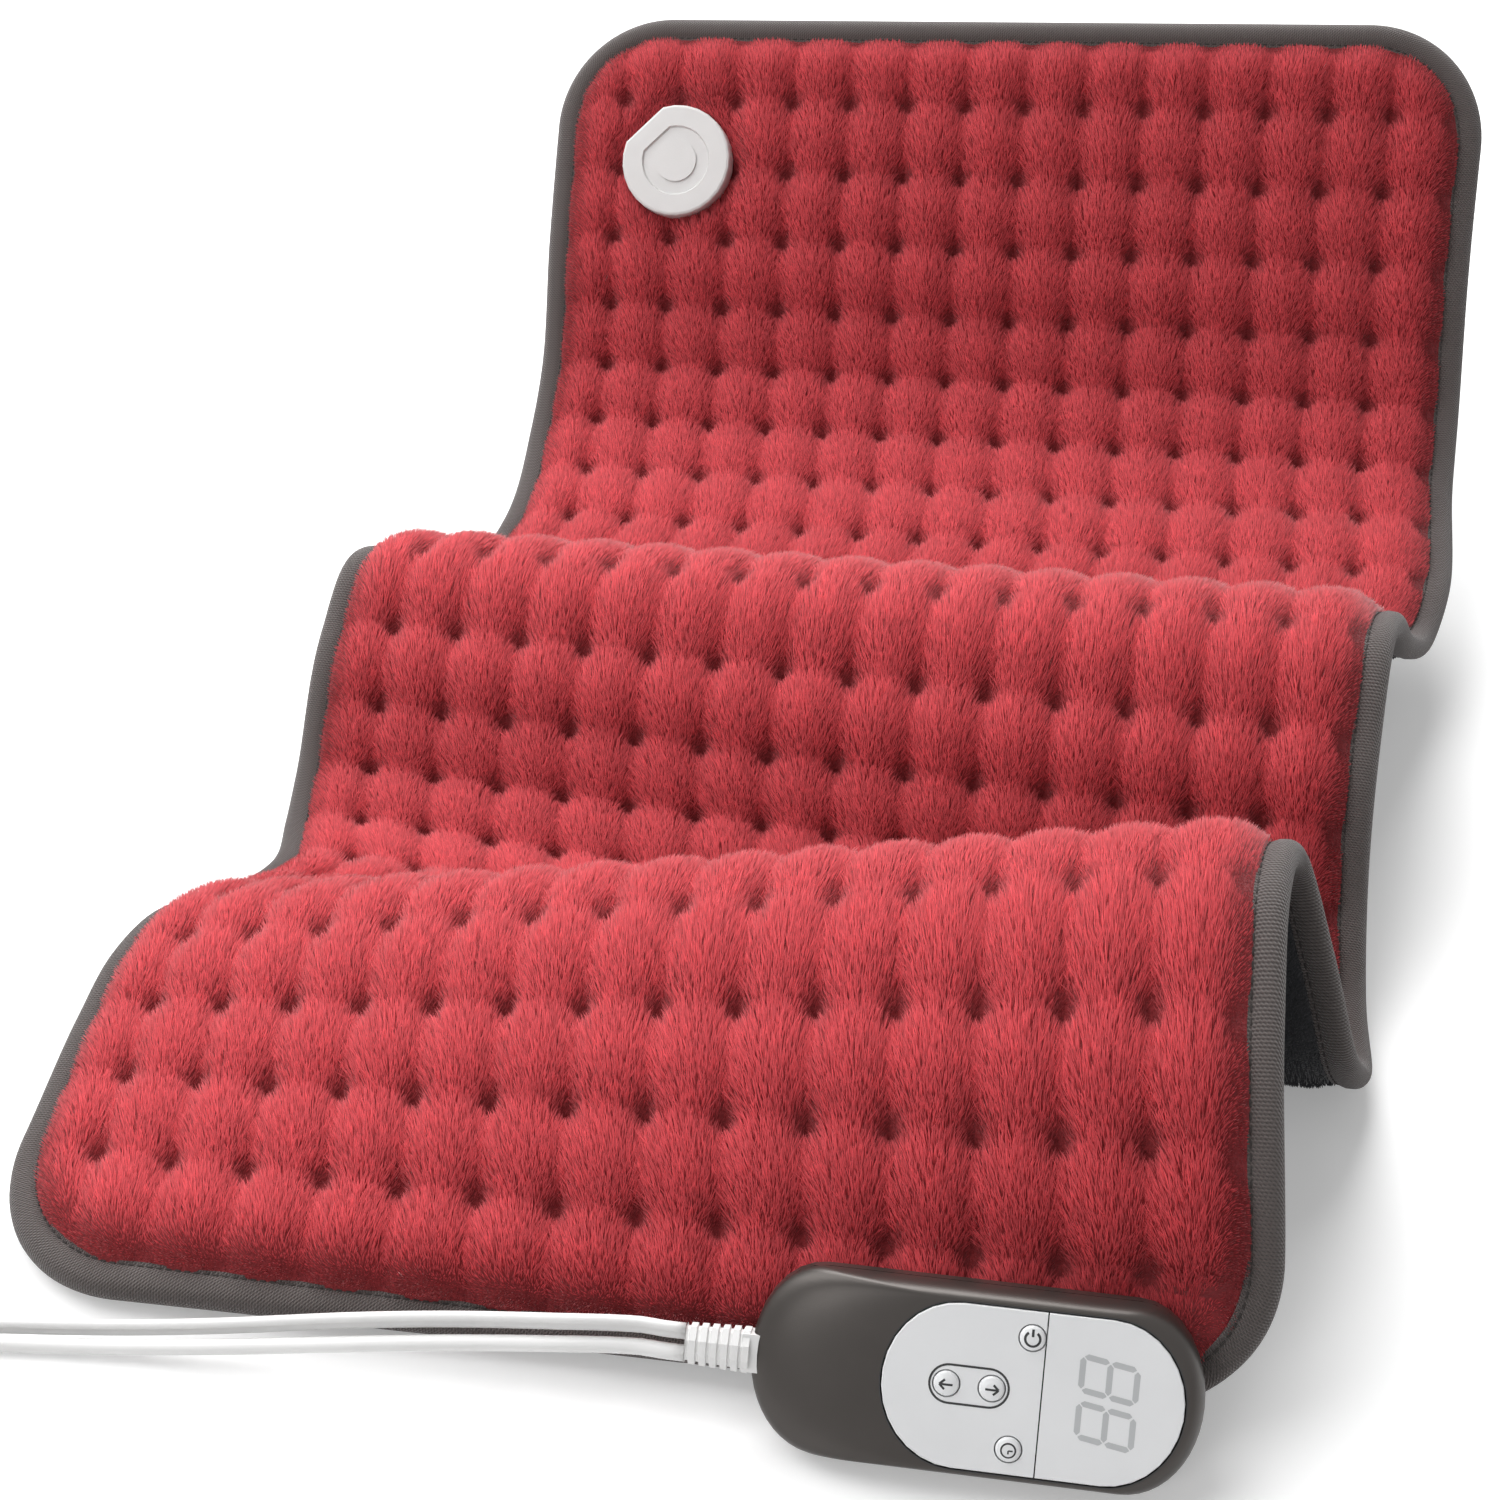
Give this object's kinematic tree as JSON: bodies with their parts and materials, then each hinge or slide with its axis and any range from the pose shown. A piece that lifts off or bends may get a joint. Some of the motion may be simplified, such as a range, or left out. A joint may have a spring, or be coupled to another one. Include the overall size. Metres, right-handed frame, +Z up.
{
  "type": "heating pad with hand control",
  "caption": "Tufted plush heating pad with a bound edge, lying in folds, with a wired hand control leaning on it, a pad connector and coiled leads.",
  "frame": {"origin": "middle of the pad and hand control's box, on the surface they lie on", "axes": "+X to the right, +Y from the front edge to the raised back edge, +Z up"},
  "size_m": [0.4324, 0.5545, 0.1556],
  "materials": {
    "plush": "long soft pile, tufted",
    "back_fabric": "short charcoal pile",
    "binding": "ribbed woven tape",
    "felt": "needled felt",
    "wire": "silicone insulation",
    "white_plastic": "fine matt",
    "body_plastic": "satin, faintly metallic",
    "face_plastic": "satin light grey",
    "board": "solder resist",
    "black_plastic": "matt",
    "steel": "zinc plated",
    "brass": "bright",
    "cord": "smooth white jacket",
    "tie": "soft strap",
    "ceramic": "ceramic body"
  },
  "bodies": {
    "pad_and_control": {"plush_cover": "plush", "wire_carrier": "felt", "back_cover": "back_fabric", "edge_binding": "binding", "heating_wire": "wire", "sensor_front": "black_plastic", "sensor_back": "black_plastic", "connector_shell": "white_plastic", "connector_base": "white_plastic", "connector_contact_1": "brass", "connector_contact_2": "brass", "connector_contact_3": "brass", "handset_bottom_shell": "body_plastic", "handset_top_shell": "body_plastic", "key_plate": "face_plastic", "display_window": "face_plastic", "circuit_board": "board", "display_module": "black_plastic", "triac": "black_plastic", "fuse": "ceramic", "screw_left": "steel", "screw_right": "steel", "strain_relief": "white_plastic", "pad_lead": "cord", "pad_lead_coil": "cord", "pad_lead_tie": "tie", "pad_plug_relief": "white_plastic", "pad_plug_body": "white_plastic", "pad_plug_contact_1": "brass", "pad_plug_contact_2": "brass", "pad_plug_contact_3": "brass", "mains_lead": "cord", "mains_lead_coil": "cord", "mains_lead_tie": "tie", "mains_plug_relief": "white_plastic", "mains_plug_body": "white_plastic", "mains_plug_blade_1": "brass", "mains_plug_blade_2": "brass", "power_switch": "black_plastic", "cooler_switch": "black_plastic", "warmer_switch": "black_plastic", "timer_switch": "black_plastic"},
    "power_button": {"power_button": "face_plastic"},
    "cooler_button": {"cooler_button": "face_plastic"},
    "warmer_button": {"warmer_button": "face_plastic"},
    "timer_button": {"timer_button": "face_plastic"}
  },
  "joints": [
    {"name": "power_press", "type": "slide", "parent": "pad_and_control", "child": "power_button", "axis": [-0.0571, 0.8172, -0.5736], "range_m": [0, 0.0005], "stiffness_N_per_m": 1500},
    {"name": "cooler_press", "type": "slide", "parent": "pad_and_control", "child": "cooler_button", "axis": [-0.0571, 0.8172, -0.5736], "range_m": [0, 0.0005], "stiffness_N_per_m": 1500},
    {"name": "warmer_press", "type": "slide", "parent": "pad_and_control", "child": "warmer_button", "axis": [-0.0571, 0.8172, -0.5736], "range_m": [0, 0.0005], "stiffness_N_per_m": 1500},
    {"name": "timer_press", "type": "slide", "parent": "pad_and_control", "child": "timer_button", "axis": [-0.0571, 0.8172, -0.5736], "range_m": [0, 0.0005], "stiffness_N_per_m": 1500}
  ]
}
